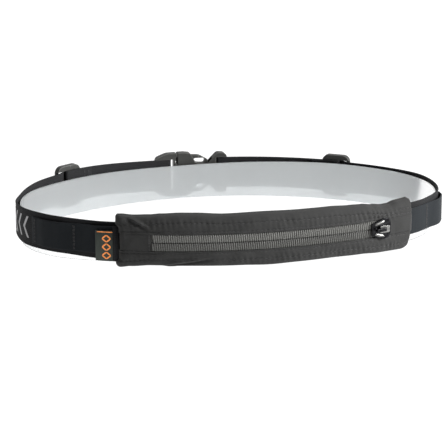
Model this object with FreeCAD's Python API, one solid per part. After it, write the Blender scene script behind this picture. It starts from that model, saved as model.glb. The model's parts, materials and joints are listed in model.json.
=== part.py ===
"""Elastic running belt with a zipped pouch, held open as a loop on a clear shaping hoop.

Millimetres, +Z up.  The pouch faces -Y, the side-release buckle is at the back (+Y).
The loop's plan is four kinds of tangent arc.  A place on it is given by two numbers:
  angle   direction of the outward normal, degrees anticlockwise from +X (90 back, 270 front)
  offset  distance outwards from the hoop's outer face
Heights are counted from the middle of the webbing until place_on_base() moves the whole
belt so that its base is at z = 0 and the origin is at the centre of its footprint.
"""
import FreeCAD, Part
import math
import os

# ---- plan of the loop, at the hoop's outer face ---------------------------------------------
HALF_LENGTH = 162.5
FRONT_RADIUS = 300.0
BACK_RADIUS = 210.0
FRONT_CORNER_RADIUS = 60.0
BACK_CORNER_RADIUS = 70.0

# ---- heights, from the middle of the webbing ------------------------------------------------
BASE = -19.0
POUCH_TOP = 20.0
HOOP_TOP = 10.0
WEB_HALF = 12.7
GEL_STRIP_BOTTOM = -11.2
GEL_STRIP_TOP = 10.8
LABEL_BOTTOM = -16.5
LABEL_TOP = 7.0

# ---- layers, as offsets ---------------------------------------------------------------------
HOOP_THICKNESS = 2.0
WEB = 1.2
WEB_LEVEL = 0.4
FABRIC = 1.0
BACK_PANEL_LEVEL = 1.7
FRONT_PANEL_LEVEL = 11.3
TAPE_LEVEL = 10.2
TAPE_THICKNESS = 0.6
COIL_LEVEL = 10.9
COIL_THICKNESS = 1.3
LABEL_LEVEL = 5.2
LABEL_LEAF = 0.4
LABEL_THICKNESS = 1.7
GEL_SEWN_LEVEL = 1.7
GEL_SHORT_LOOP_LEVEL = 2.8
GEL_LONG_LOOP_LEVEL = 3.0
GEL_POUCH_LEVEL = 3.4

# ---- pouch, zip and gel loops, angles from straight ahead (negative is the label's side) ----
POUCH_START = -18.6
POUCH_END = 25.2
ZIP_START = -13.6
ZIP_END = 21.7
ZIP_HALF = 6.2
SHOULDER_RADIUS = 5.0
TAPE_EDGE = 1.0
TAPE_OUTER = 9.5
COIL_EDGE = 0.75
COIL_OUTER = 3.0
LIP_HINGE = -13.1
SLIDER_ANGLE = 19.7
LABEL_LENGTH = 2.9
LABEL_FOLD = 0.08
GEL_LEFT_STITCHES = (-24.9, -56.5)
GEL_LEFT_END = -59.5
GEL_RIGHT_STITCHES = (47.5,)
GEL_RIGHT_END = 80.0
SEWN_GAP = 0.05

# ---- hardware -------------------------------------------------------------------------------
SLOT_HALF = 13.2
BUCKLE_SEAM = 96.3
BUCKLE_MIDDLE = 5.2
LEFT_ADJUSTER = 123.4
RIGHT_ADJUSTER = 60.6
ADJUSTER_LENGTH = 23.0
ADJUSTER_HALF = 17.3
LEFT_BASE = 0.4
RIGHT_BASE = 1.9
PLUG_BAR = (-10.2, -7.6)
SOCKET_BAR = (35.8, 38.6)
PRONG_HINGE = (1.0, 12.4)
PRONG_ROOT_RADIUS = 2.2
PRONG_LAYER = (3.4, 7.0)
SOCKET_HOLLOW = (3.0, 7.4)
RIGHT_WEB_END = 423.0
RIGHT_LAP_END = 52.0

# ---- slider and pull ------------------------------------------------------------------------
SLIDER_FRONT_PLATE = (12.6, 13.9)
SLIDER_BACK_PLATE = (8.4, 9.7)
BRIDGE_TOP = 17.4
BRIDGE_WALL = 0.9
PULL_BAR_X = -1.5
PULL_BAR_LEVEL = 15.2
PULL_BAR_RADIUS = 0.6
PULL_LENGTH = 8.0
PULL_HALF = 2.7

TALL = 200.0


def vec(x, y, z=0.0):
    return FreeCAD.Vector(x, y, z)


def corner_geometry(radius, corner_radius):
    """Half the angle of the long arc, and how far its centre is from the loop's centre line."""
    side = HALF_LENGTH - corner_radius
    half = math.asin(side / (radius - corner_radius))
    return math.degrees(half), (radius - corner_radius) * math.cos(half)


FRONT_HALF, FRONT_DISTANCE = corner_geometry(FRONT_RADIUS, FRONT_CORNER_RADIUS)
BACK_HALF, BACK_DISTANCE = corner_geometry(BACK_RADIUS, BACK_CORNER_RADIUS)
FRONT_CENTRE = vec(0, FRONT_DISTANCE)
BACK_CENTRE = vec(0, -BACK_DISTANCE)
FRONT_SIDE = HALF_LENGTH - FRONT_CORNER_RADIUS
BACK_SIDE = HALF_LENGTH - BACK_CORNER_RADIUS

# end angle, centre and radius of each arc of the plan, in turn
ARCS = [
    (90 - BACK_HALF, vec(BACK_SIDE, 0), BACK_CORNER_RADIUS),
    (90 + BACK_HALF, BACK_CENTRE, BACK_RADIUS),
    (180, vec(-BACK_SIDE, 0), BACK_CORNER_RADIUS),
    (270 - FRONT_HALF, vec(-FRONT_SIDE, 0), FRONT_CORNER_RADIUS),
    (270 + FRONT_HALF, FRONT_CENTRE, FRONT_RADIUS),
    (360, vec(FRONT_SIDE, 0), FRONT_CORNER_RADIUS),
]


# ---- places on the plan ---------------------------------------------------------------------

def normal(angle):
    return vec(math.cos(math.radians(angle)), math.sin(math.radians(angle)))


def plan_point(angle, offset, beside=None):
    """The point at this angle and offset, on the arc that `beside` (or the angle) lies on."""
    key = (angle if beside is None else beside) % 360
    for end, centre, radius in ARCS:
        if key <= end:
            return centre + normal(angle) * (radius + offset)


def run_edges(start, end, offset):
    """Arc edges at one offset from one angle to a larger one, split where the arcs join."""
    joins = [arc[0] + turn for turn in (0, 360) for arc in ARCS]
    stops = [start] + [join for join in joins if start < join < end] + [end]
    edges = []
    for first, last in zip(stops, stops[1:]):
        middle = (first + last) / 2
        points = [plan_point(angle, offset, middle) for angle in (first, middle, last)]
        edges.append(Part.Arc(*points).toShape())
    return edges


def side_edges(stations, rise):
    """Edges of one side of a ribbon; a change of level is one arc, which follows the loop."""
    edges = []
    for (angle, level), (next_angle, next_level) in zip(stations, stations[1:]):
        if abs(level - next_level) < 1e-6:
            edges += run_edges(angle, next_angle, level + rise)
            continue
        middle = ((angle + next_angle) / 2, (level + next_level) / 2)
        places = [(angle, level), middle, (next_angle, next_level)]
        points = [plan_point(place, height + rise) for place, height in places]
        edges.append(Part.Arc(*points).toShape())
    return edges


def upright(edges, low, high):
    """Solid with a plan outline of these edges, from one height to another."""
    face = Part.Face(Part.Wire(Part.__sortEdges__(edges)))
    face.translate(vec(0, 0, low))
    return face.extrude(vec(0, 0, high - low))


def band(stations, thickness, low, high):
    """Upright ribbon through (angle, level) stations; it ramps where the level changes."""
    stations = sorted(stations)
    ends = []
    for angle, level in (stations[0], stations[-1]):
        inner = plan_point(angle, level)
        ends.append(Part.LineSegment(inner, plan_point(angle, level + thickness)).toShape())
    return upright(side_edges(stations, 0) + side_edges(stations, thickness) + ends, low, high)


def u_turn(angle, middle, inner_radius, side, low, high):
    """Webbing turning back round a bar: half a ring that bulges to one side along the loop."""
    centre = plan_point(angle, middle)
    along = normal(angle + 90) * side
    outer_radius = inner_radius + WEB
    edges = []
    for radius in (inner_radius, outer_radius):
        ends = [centre - normal(angle) * radius, centre + along * radius, centre + normal(angle) * radius]
        edges.append(Part.Arc(*ends).toShape())
    for way in (-1, 1):
        inner = centre + normal(angle) * (way * inner_radius)
        edges.append(Part.LineSegment(inner, centre + normal(angle) * (way * outer_radius)).toShape())
    return upright(edges, low, high)


def merged(shapes):
    result = shapes[0].multiFuse(shapes[1:]) if len(shapes) > 1 else shapes[0]
    return result.removeSplitter()


# ---- outlines drawn in X and Z, with rounded corners ----------------------------------------

def outline(corners):
    """Face in the XZ plane through (x, z, corner radius) in turn."""
    edges = []
    starts = []
    ends = []
    for index, (x, z, radius) in enumerate(corners):
        before = corners[index - 1]
        after = corners[(index + 1) % len(corners)]
        corner = vec(x, 0, z)
        to_before = (vec(before[0], 0, before[1]) - corner).normalize()
        to_after = (vec(after[0], 0, after[1]) - corner).normalize()
        if radius == 0:
            starts.append(corner)
            ends.append(corner)
            continue
        half = to_before.getAngle(to_after) / 2
        reach = radius / math.tan(half)
        bisector = (to_before + to_after).normalize()
        middle = corner + bisector * (radius / math.sin(half) - radius)
        starts.append(corner + to_before * reach)
        ends.append(corner + to_after * reach)
        edges.append(Part.Arc(starts[-1], middle, ends[-1]).toShape())
    for index, end in enumerate(ends):
        start = starts[(index + 1) % len(starts)]
        if (start - end).Length > 1e-6:
            edges.append(Part.LineSegment(end, start).toShape())
    return Part.Face(Part.Wire(Part.__sortEdges__(edges)))


def rectangle(x0, x1, z0, z1, radius=0.0):
    return outline([(x0, z0, radius), (x1, z0, radius), (x1, z1, radius), (x0, z1, radius)])


def both_halves(corners):
    """Corners of a shape whose upper half is given from left to right."""
    return corners + [(x, -z, radius) for x, z, radius in reversed(corners)]


def curved(face, inner, outer, at_front=False):
    """Plate of this XZ outline between two offsets, curved with the back or the front arc."""
    centre = FRONT_CENTRE if at_front else BACK_CENTRE
    radius = FRONT_RADIUS if at_front else BACK_RADIUS
    way = -1 if at_front else 1
    shell = Part.makeCylinder(radius + outer, TALL, centre - vec(0, 0, TALL / 2))
    shell = shell.cut(Part.makeCylinder(radius + inner, TALL, centre - vec(0, 0, TALL / 2)))
    face = face.copy()
    face.translate(centre)
    return face.extrude(vec(0, way * (radius + outer + 1), 0)).common(shell)


def turned(shape, angle, at_front=False):
    """Turn a piece about the centre of the back or the front arc."""
    shape = shape.copy()
    shape.rotate(FRONT_CENTRE if at_front else BACK_CENTRE, vec(0, 0, 1), angle)
    return shape


def back_degrees(length):
    """Angle that a length takes up on the back arc, at the middle of the hardware."""
    return math.degrees(length / (BACK_RADIUS + BUCKLE_MIDDLE))


def front(angle):
    return 270 + angle


# ---- pouch ----------------------------------------------------------------------------------

def pouch_shell(edge, wall):
    """Front panel from the zip to a rounded shoulder and back over the top (or the bottom)."""
    way = 1 if wall > 0 else -1
    face_front = FRONT_PANEL_LEVEL + FABRIC
    shoulder = wall - way * SHOULDER_RADIUS
    slant = SHOULDER_RADIUS * (1 - math.sqrt(0.5))
    inner_slant = slant + FABRIC * math.sqrt(0.5)

    def at(offset, height):
        return vec(0, FRONT_DISTANCE - FRONT_RADIUS - offset, height)

    turn = face_front - SHOULDER_RADIUS
    outer_arc = (at(face_front, shoulder), at(face_front - slant, wall - way * slant), at(turn, wall))
    inner_wall = wall - way * FABRIC
    inner_arc = (
        at(FRONT_PANEL_LEVEL, shoulder),
        at(face_front - inner_slant, wall - way * inner_slant),
        at(turn, inner_wall),
    )
    corners = [
        (at(face_front, edge), outer_arc[0]),
        (outer_arc[2], at(BACK_PANEL_LEVEL, wall)),
        (at(BACK_PANEL_LEVEL, wall), at(BACK_PANEL_LEVEL, inner_wall)),
        (at(BACK_PANEL_LEVEL, inner_wall), inner_arc[2]),
        (inner_arc[0], at(FRONT_PANEL_LEVEL, edge)),
        (at(FRONT_PANEL_LEVEL, edge), at(face_front, edge)),
    ]
    edges = [Part.LineSegment(*pair).toShape() for pair in corners]
    edges += [Part.Arc(*outer_arc).toShape(), Part.Arc(*inner_arc).toShape()]
    face = Part.Face(Part.Wire(Part.__sortEdges__(edges)))
    shell = face.revolve(FRONT_CENTRE, vec(0, 0, 1), POUCH_END - POUCH_START)
    return turned(shell, POUCH_START, at_front=True)


def pouch_back_panel():
    stations = [(front(POUCH_START), BACK_PANEL_LEVEL), (front(POUCH_END), BACK_PANEL_LEVEL)]
    return band(stations, FABRIC, BASE + FABRIC, POUCH_TOP - FABRIC)


def zip_end_patch(outer, inner):
    """Fabric over the zip's end, folded round as the pouch's end wall."""
    way = 1 if outer > inner else -1
    wall_turn = math.degrees(FABRIC / (FRONT_RADIUS + FRONT_PANEL_LEVEL))
    strip = [(front(outer), FRONT_PANEL_LEVEL), (front(inner), FRONT_PANEL_LEVEL)]
    wall_level = BACK_PANEL_LEVEL + FABRIC
    wall = [(front(outer), wall_level), (front(outer - way * wall_turn), wall_level)]
    depth = FRONT_PANEL_LEVEL - wall_level
    return merged([
        band(strip, FABRIC, -ZIP_HALF, ZIP_HALF),
        band(wall, depth, BASE + SHOULDER_RADIUS, POUCH_TOP - SHOULDER_RADIUS),
    ])


def woven_label():
    """Folded ribbon sewn into the pouch's left end; the fold is the free end."""
    fold = front(POUCH_START - LABEL_LENGTH)
    sewn = front(POUCH_START - SEWN_GAP)
    back_leaf = [(fold, LABEL_LEVEL), (sewn, LABEL_LEVEL)]
    front_level = LABEL_LEVEL + LABEL_THICKNESS - LABEL_LEAF
    front_leaf = [(fold, front_level), (sewn, front_level)]
    fold_wall = [(fold, LABEL_LEVEL), (fold + LABEL_FOLD, LABEL_LEVEL)]
    return merged([
        band(back_leaf, LABEL_LEAF, LABEL_BOTTOM, LABEL_TOP),
        band(front_leaf, LABEL_LEAF, LABEL_BOTTOM, LABEL_TOP),
        band(fold_wall, LABEL_THICKNESS, LABEL_BOTTOM, LABEL_TOP),
    ])


# ---- zip ------------------------------------------------------------------------------------

def zip_half(level, thickness, near, far, end):
    stations = [(front(ZIP_START + 0.6), level), (front(end), level)]
    low, high = sorted((near, far))
    return band(stations, thickness, low, high)


def zip_tape(way):
    return zip_half(TAPE_LEVEL, TAPE_THICKNESS, way * TAPE_EDGE, way * TAPE_OUTER, ZIP_END + 1.5)


def zip_coil(way):
    return zip_half(COIL_LEVEL, COIL_THICKNESS, way * COIL_EDGE, way * COIL_OUTER, ZIP_END - 0.3)


def zip_top_stop(way):
    """Clip crimped over the inner edge of one tape, beyond the end of the coil."""
    low, high = sorted((way * 0.7, way * 2.6))
    stations = [(front(ZIP_END + 0.1), TAPE_LEVEL - 0.4), (front(ZIP_END + 0.5), TAPE_LEVEL - 0.4)]
    return band(stations, TAPE_THICKNESS + 0.8, low, high).cut(zip_tape(way))


def zip_bottom_stop():
    stations = [(front(LIP_HINGE - 0.2), COIL_LEVEL), (front(LIP_HINGE + 0.05), COIL_LEVEL)]
    return band(stations, 0.3, -3.4, 3.4)


def zip_slider():
    """Two plates joined by a post, side flanges round the coil and a bridge for the pull."""
    plate = [(-8.4, 4.8, 1.0), (2.6, 8.2, 3.0), (6.4, 7.5, 2.5), (8.6, 3.4, 2.5)]
    plate_inner, plate_outer = SLIDER_FRONT_PLATE
    back_outer = SLIDER_BACK_PLATE[1]
    sunk = 0.1
    front_plate = curved(outline(both_halves(plate)), *SLIDER_FRONT_PLATE, at_front=True)
    back_plate = curved(rectangle(-7.5, 7.5, -5.0, 5.0, 1.5), *SLIDER_BACK_PLATE, at_front=True)
    post = rectangle(3.0, 6.6, -0.45, 0.45, 0.4)
    pieces = [front_plate, back_plate, curved(post, back_outer - sunk, plate_inner + sunk, at_front=True)]
    for way in (-1, 1):
        low, high = sorted((way * 4.3, way * 5.4))
        flange = rectangle(-5.5, 6.0, low, high)
        pieces.append(curved(flange, plate_inner - 1.5, plate_inner + sunk, at_front=True))
    bridge = curved(rectangle(-5.6, 2.6, -1.2, 1.2, 0.5), plate_outer - sunk, BRIDGE_TOP, at_front=True)
    window = curved(rectangle(-4.5, 1.5, -2.0, 2.0), plate_outer, BRIDGE_TOP - BRIDGE_WALL, at_front=True)
    return turned(merged(pieces + [bridge.cut(window)]), SLIDER_ANGLE, at_front=True)


def pull_bar_place():
    """Middle of the pull's end bar, before it is turned to the slider's place."""
    return vec(PULL_BAR_X, FRONT_DISTANCE - FRONT_RADIUS - PULL_BAR_LEVEL)


def zip_pull():
    """Short forked tab; its end bar lies under the slider's bridge."""
    frame = rectangle(0, PULL_LENGTH, -PULL_HALF, PULL_HALF, 1.2)
    frame = frame.cut(rectangle(0.3, 4.8, -1.5, 1.5))
    frame.translate(pull_bar_place() - vec(0, PULL_BAR_RADIUS))
    frame = frame.extrude(vec(0, 2 * PULL_BAR_RADIUS))
    bar = Part.makeCylinder(PULL_BAR_RADIUS, 2 * PULL_HALF, pull_bar_place() - vec(0, 0, PULL_HALF))
    return turned(merged([frame, bar]), SLIDER_ANGLE, at_front=True)


# ---- webbing --------------------------------------------------------------------------------

def threaded_web(side, base, adjuster, bar, far_stations):
    """Webbing from the buckle's bar, through the adjuster, with its end sewn round the adjuster.

    side is +1 when the pouch is at larger angles than the buckle.  bar is the angle of the
    bar edge that the webbing turns round and of the bar's other edge.
    """
    tail_level = base
    return_level = base + 1.3
    main_level = base + 2.6
    adjuster_middle = base + 2.4
    over_tail = base + 3.6
    over_return = base + 4.9
    over_bar = base + 5.1
    bar_middle = base + 3.8

    def beside(distance):
        return adjuster + side * back_degrees(distance)

    turn_edge, other_edge = bar
    main = [
        (turn_edge, over_bar),
        (other_edge, over_bar),
        (other_edge + side * back_degrees(4.2), main_level),
        (beside(-7.0), main_level),
        (beside(-2.3), over_return),
        (beside(2.5), over_return),
        (beside(8.3), far_stations[0][1]),
    ]
    back_again = [
        (turn_edge, return_level),
        (beside(-6.5), return_level),
        (beside(-1.9), over_tail),
        (beside(1.5), over_tail),
    ]
    tail = [(beside(-22.0), tail_level), (beside(1.5), tail_level)]
    pieces = [band(path, WEB, -WEB_HALF, WEB_HALF) for path in (main + far_stations, back_again, tail)]
    pieces.append(u_turn(turn_edge, bar_middle, 1.3, -side, -WEB_HALF, WEB_HALF))
    pieces.append(u_turn(beside(1.5), adjuster_middle, 1.2, side, -WEB_HALF, WEB_HALF))
    return merged(pieces)


def strap_left():
    bar = [BUCKLE_SEAM - back_degrees(x) for x in reversed(PLUG_BAR)]
    far = [(front(POUCH_START + 3.6), WEB_LEVEL)]
    return threaded_web(1, LEFT_BASE, LEFT_ADJUSTER, bar, far)


def strap_right_loop():
    bar = [BUCKLE_SEAM - back_degrees(x) for x in SOCKET_BAR]
    return threaded_web(-1, RIGHT_BASE, RIGHT_ADJUSTER, bar, [(RIGHT_LAP_END, RIGHT_BASE)])


def strap_right():
    stations = [(front(POUCH_END - 3.0), WEB_LEVEL), (RIGHT_WEB_END, WEB_LEVEL)]
    return band(stations, WEB, -WEB_HALF, WEB_HALF)


def gel_loop_strip(pouch_end, stitches, far_end):
    """Narrower elastic over the strap, open from it between its stitch lines."""
    way = 1 if far_end > pouch_end else -1
    sewn_half = way * 0.8

    def flat(first, last, level):
        return [(front(first), level), (front(last), level)]

    stations = flat(pouch_end + way * SEWN_GAP, pouch_end + way * 3.0, GEL_POUCH_LEVEL)
    for stitch in stitches:
        stations += flat(stitch - sewn_half, stitch + sewn_half, GEL_SEWN_LEVEL)
        if stitch != stitches[-1]:
            following = stitches[stitches.index(stitch) + 1]
            third = (following - stitch) / 3
            stations += flat(stitch + third, following - third, GEL_SHORT_LOOP_LEVEL)
    if abs(far_end - stitches[-1]) > 10:
        stations += flat(stitches[-1] + way * 10, far_end - way * 8, GEL_LONG_LOOP_LEVEL)
    stations.append((front(far_end), GEL_SEWN_LEVEL))
    return band(stations, WEB, GEL_STRIP_BOTTOM, GEL_STRIP_TOP)


def stitch_row(angle, level, low, high):
    """Vertical row of thread stitches standing just proud of the webbing."""
    half_turn = 0.35
    count = int((high - low) / 2.6)
    pitch = (high - low) / count
    stitches = []
    for index in range(count):
        start = low + index * pitch + 0.4
        stations = [(angle - half_turn, level), (angle + half_turn, level)]
        stitches.append(band(stations, 0.3, start, start + pitch - 0.8))
    return stitches


def gel_loop_stitches(angles):
    face = GEL_SEWN_LEVEL + WEB
    rows = []
    for angle in angles:
        rows += stitch_row(front(angle), face, GEL_STRIP_BOTTOM + 1, GEL_STRIP_TOP - 1)
    return Part.makeCompound(rows)


def strap_tail_stitches(side, base, adjuster):
    """Two rows through the sewn tail, on the face next to the hoop."""
    rows = []
    for distance in (-15.0, -19.0):
        angle = adjuster + side * back_degrees(distance)
        rows += stitch_row(angle, base - 0.3, -WEB_HALF + 1.5, WEB_HALF - 1.5)
    return Part.makeCompound(rows)


# ---- slide adjusters ------------------------------------------------------------------------

def slide_adjuster(angle, base):
    """Three-bar slide: webbing runs under the end bars and over the middle one."""
    half = ADJUSTER_LENGTH / 2
    low = base + 1.5
    middle_top = base + 3.3
    end_bottom = base + 4.2
    top = base + 6.4
    frame = curved(rectangle(-half, half, -ADJUSTER_HALF, ADJUSTER_HALF, 5.5), low, top)
    for x0, x1 in ((-8.5, -1.5), (1.5, 8.5)):
        frame = frame.cut(curved(rectangle(x0, x1, -SLOT_HALF, SLOT_HALF, 0.8), low - 1, top + 1))
    frame = frame.cut(curved(rectangle(-1.6, 1.6, -SLOT_HALF, SLOT_HALF), middle_top, top + 1))
    for x0, x1 in ((-half - 1, -8.4), (8.4, half + 1)):
        frame = frame.cut(curved(rectangle(x0, x1, -SLOT_HALF, SLOT_HALF), low - 1, end_bottom))
    return turned(frame, angle - 90)


# ---- buckle ---------------------------------------------------------------------------------
# Drawn with its seam at x = 0 and +X towards the socket, then turned to its place.

def at_buckle(shape):
    return turned(shape, BUCKLE_SEAM - 90)


def buckle_plug():
    """Frame with the webbing's bars, and the block that fills the socket's mouth."""
    contour = [(-18.5, 15.0, 4.0), (-9.0, 18.3, 12.0), (-0.3, 18.3, 1.0)]
    frame = curved(outline(both_halves(contour)), 2.2, 8.0)
    frame = frame.cut(curved(rectangle(-15.8, PLUG_BAR[0], -SLOT_HALF, SLOT_HALF, 0.6), 0, 12))
    frame = frame.cut(curved(rectangle(PLUG_BAR[1], -2.8, -SLOT_HALF, SLOT_HALF, 0.6), 0, 12))
    bar_zone = rectangle(PLUG_BAR[0] - 0.1, PLUG_BAR[1] + 0.1, -SLOT_HALF, SLOT_HALF)
    frame = frame.cut(curved(bar_zone, 0, 3.2)).cut(curved(bar_zone, 5.2, 12))
    frame = frame.cut(curved(rectangle(-20, -15.7, -SLOT_HALF, SLOT_HALF), 0, 4.7))
    for way in (-1, 1):
        low, high = sorted((way * 9.6, way * 15.4))
        frame = frame.cut(curved(rectangle(-1.5, 1, low, high), 0, 12))
    block = curved(outline(both_halves([(-2.0, 9.6, 0), (1.0, 9.3, 0), (7.0, 6.6, 1.5)])), *PRONG_LAYER)
    tongue = curved(rectangle(5.0, 12.5, -2.6, 2.6, 1.2), 3.8, 6.6)
    return at_buckle(merged([frame, block, tongue]))


def prong_outline():
    """Spring arm with a catch shoulder, a finger pad and an oval lightening hole."""
    arm = [
        (1.0, 14.6, 0), (7.0, 15.0, 0), (13.0, 15.9, 3.0), (19.0, 15.4, 8.0), (27.0, 10.8, 2.2),
        (25.0, 6.9, 2.0), (12.0, 7.4, 4.0), (1.0, 10.2, 0),
    ]
    hinge_x, hinge_z = PRONG_HINGE
    circle = Part.Circle(vec(hinge_x, 0, hinge_z), vec(0, 1, 0), PRONG_ROOT_RADIUS)
    root = Part.Face(Part.Wire(circle.toShape()))
    hole = rectangle(13.8, 23.4, 8.9, 12.9, 1.95)
    return outline(arm).fuse(root).removeSplitter().cut(hole)


def buckle_prong(way):
    prong = prong_outline()
    solid = merged([curved(face, *PRONG_LAYER) for face in prong.Faces])
    if way < 0:
        solid = solid.mirror(vec(0, 0, 0), vec(0, 0, 1))
    return at_buckle(solid)


def buckle_socket():
    """Mouth ring, waisted front and back plates that bare the prongs, and the webbing's bar."""
    contour = [
        (0.3, 18.3, 1.0), (6.0, 18.3, 10.0), (10.9, 17.6, 0.8), (16.0, 9.0, 4.0), (25.5, 8.2, 4.0),
        (34.0, 17.2, 4.0), (41.4, 16.6, 3.5),
    ]
    body = curved(outline(both_halves(contour)), 1.9, 8.5)
    hollow = [(2.3, 17.0, 0), (30.0, 17.0, 0)]
    body = body.cut(curved(outline(both_halves(hollow)), *SOCKET_HOLLOW))
    body = body.cut(curved(rectangle(-1, 2.4, -15.3, 15.3), *SOCKET_HOLLOW))
    body = body.cut(curved(rectangle(32.6, SOCKET_BAR[0], -SLOT_HALF, SLOT_HALF, 0.6), 0, 12))
    bar_zone = rectangle(SOCKET_BAR[0] - 0.1, SOCKET_BAR[1], -SLOT_HALF, SLOT_HALF)
    body = body.cut(curved(bar_zone, 0, 4.7)).cut(curved(bar_zone, 6.7, 12))
    body = body.cut(curved(rectangle(SOCKET_BAR[1], 45, -SLOT_HALF, SLOT_HALF), 0, 12))
    return at_buckle(body)


# ---- hoop -----------------------------------------------------------------------------------

def display_hoop():
    """Closed band of clear sheet that keeps the belt in its oval."""
    outer = upright(run_edges(0, 360, 0), BASE, HOOP_TOP)
    return outer.cut(upright(run_edges(0, 360, -HOOP_THICKNESS), BASE, HOOP_TOP))


# ---- the whole belt -------------------------------------------------------------------------

def make_parts():
    return {
        "pouch_back_panel": pouch_back_panel(),
        "pouch_upper_panel": pouch_shell(ZIP_HALF, POUCH_TOP),
        "pouch_lower_panel": pouch_shell(-ZIP_HALF, BASE),
        "zip_end_patch_left": zip_end_patch(POUCH_START, ZIP_START),
        "zip_end_patch_right": zip_end_patch(POUCH_END, ZIP_END),
        "woven_label": woven_label(),
        "zip_tape_upper": zip_tape(1),
        "zip_tape_lower": zip_tape(-1),
        "zip_coil_upper": zip_coil(1),
        "zip_coil_lower": zip_coil(-1),
        "zip_bottom_stop": zip_bottom_stop(),
        "zip_top_stop_upper": zip_top_stop(1),
        "zip_top_stop_lower": zip_top_stop(-1),
        "zip_slider": zip_slider(),
        "zip_pull": zip_pull(),
        "strap_left": strap_left(),
        "strap_right": strap_right(),
        "strap_right_loop": strap_right_loop(),
        "gel_loop_strip_left": gel_loop_strip(POUCH_START, GEL_LEFT_STITCHES, GEL_LEFT_END),
        "gel_loop_strip_right": gel_loop_strip(POUCH_END, GEL_RIGHT_STITCHES, GEL_RIGHT_END),
        "gel_loop_stitches_left": gel_loop_stitches(GEL_LEFT_STITCHES),
        "gel_loop_stitches_right": gel_loop_stitches(GEL_RIGHT_STITCHES),
        "strap_tail_stitches_left": strap_tail_stitches(1, LEFT_BASE, LEFT_ADJUSTER),
        "strap_tail_stitches_right": strap_tail_stitches(-1, RIGHT_BASE, RIGHT_ADJUSTER),
        "slide_adjuster_left": slide_adjuster(LEFT_ADJUSTER, LEFT_BASE),
        "slide_adjuster_right": slide_adjuster(RIGHT_ADJUSTER, RIGHT_BASE),
        "buckle_plug": buckle_plug(),
        "buckle_prong_upper": buckle_prong(1),
        "buckle_prong_lower": buckle_prong(-1),
        "buckle_socket": buckle_socket(),
        "display_hoop": display_hoop(),
    }


def place_on_base(parts):
    """Move every piece by one shift, so that the origin is at the centre of the footprint."""
    box = Part.makeCompound(list(parts.values())).optimalBoundingBox(False, False)
    shift = vec(-(box.XMin + box.XMax) / 2, -(box.YMin + box.YMax) / 2, -box.ZMin)
    for shape in parts.values():
        shape.translate(shift)
    return shift


def joint_places(shift):
    """Where the joints' axes are, once the belt is on its base."""
    hinge_x, hinge_z = PRONG_HINGE
    hinge_y = BACK_RADIUS + BUCKLE_MIDDLE - BACK_DISTANCE
    pull_bar = turned(Part.Vertex(pull_bar_place()), SLIDER_ANGLE, at_front=True).Point
    return {
        "zip_slide": FRONT_CENTRE + shift,
        "zip_lip": plan_point(front(LIP_HINGE), COIL_LEVEL) + shift,
        "pull_swing": pull_bar + shift,
        "buckle_release": BACK_CENTRE + shift,
        "prong_squeeze_upper": at_buckle(Part.Vertex(hinge_x, hinge_y, hinge_z)).Point + shift,
        "prong_squeeze_lower": at_buckle(Part.Vertex(hinge_x, hinge_y, -hinge_z)).Point + shift,
    }


def main():
    os.makedirs("parts", exist_ok=True)
    parts = make_parts()
    shift = place_on_base(parts)
    for name, shape in parts.items():
        if not shape.isValid():
            raise ValueError(name + " is not a valid shape")
        shape.exportStep("parts/" + name + ".step")
        print(name, len(shape.Solids), round(shape.Volume, 1))
    for joint, place in joint_places(shift).items():
        print(joint, place)
    print("prong axis", normal(BUCKLE_SEAM))


main()
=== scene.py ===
"""Looks for the elastic running belt: soft pouch, ribbed webbing, zip, moulded hardware, clear hoop.

Lengths are in millimetres until a mesh is made.  A place on the loop is given, as in the CAD,
by the direction of its outward normal in degrees (90 back, 270 front) and by its offset, the
distance outwards from the hoop's outer face.  Heights count from the middle of the webbing.
"""
import json
import math

import bpy
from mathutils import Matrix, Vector, noise


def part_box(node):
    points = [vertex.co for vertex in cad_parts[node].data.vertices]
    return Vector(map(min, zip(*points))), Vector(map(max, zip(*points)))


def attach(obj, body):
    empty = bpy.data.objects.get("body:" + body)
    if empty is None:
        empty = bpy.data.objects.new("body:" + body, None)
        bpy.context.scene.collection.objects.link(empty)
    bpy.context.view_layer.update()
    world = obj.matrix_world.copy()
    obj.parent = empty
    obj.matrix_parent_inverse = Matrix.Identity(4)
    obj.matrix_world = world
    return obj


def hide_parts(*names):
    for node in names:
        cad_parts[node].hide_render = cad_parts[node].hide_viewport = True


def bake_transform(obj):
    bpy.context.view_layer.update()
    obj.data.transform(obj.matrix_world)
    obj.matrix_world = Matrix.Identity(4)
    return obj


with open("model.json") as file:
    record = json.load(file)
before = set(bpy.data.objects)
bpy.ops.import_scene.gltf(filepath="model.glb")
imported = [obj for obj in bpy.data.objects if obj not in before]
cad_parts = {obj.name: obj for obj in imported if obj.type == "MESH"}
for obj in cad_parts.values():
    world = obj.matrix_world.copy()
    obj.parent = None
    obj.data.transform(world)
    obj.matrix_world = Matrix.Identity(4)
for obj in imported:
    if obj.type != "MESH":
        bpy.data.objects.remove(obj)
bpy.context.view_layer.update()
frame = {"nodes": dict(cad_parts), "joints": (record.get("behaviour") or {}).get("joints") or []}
MM = 0.001

# ---- plan of the loop ----
HALF_LENGTH = 162.5
FRONT_RADIUS = 300.0
BACK_RADIUS = 210.0
FRONT_CORNER_RADIUS = 60.0
BACK_CORNER_RADIUS = 70.0
HOOP_THICKNESS = 2.0

# ---- pouch and zip, angles from straight ahead ----
POUCH_START = -18.6
POUCH_END = 25.2
ZIP_START = -13.45
ZIP_END = 21.2
ZIP_HALF = 6.8
POUCH_BACK = 1.75
FABRIC = 0.8

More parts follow.
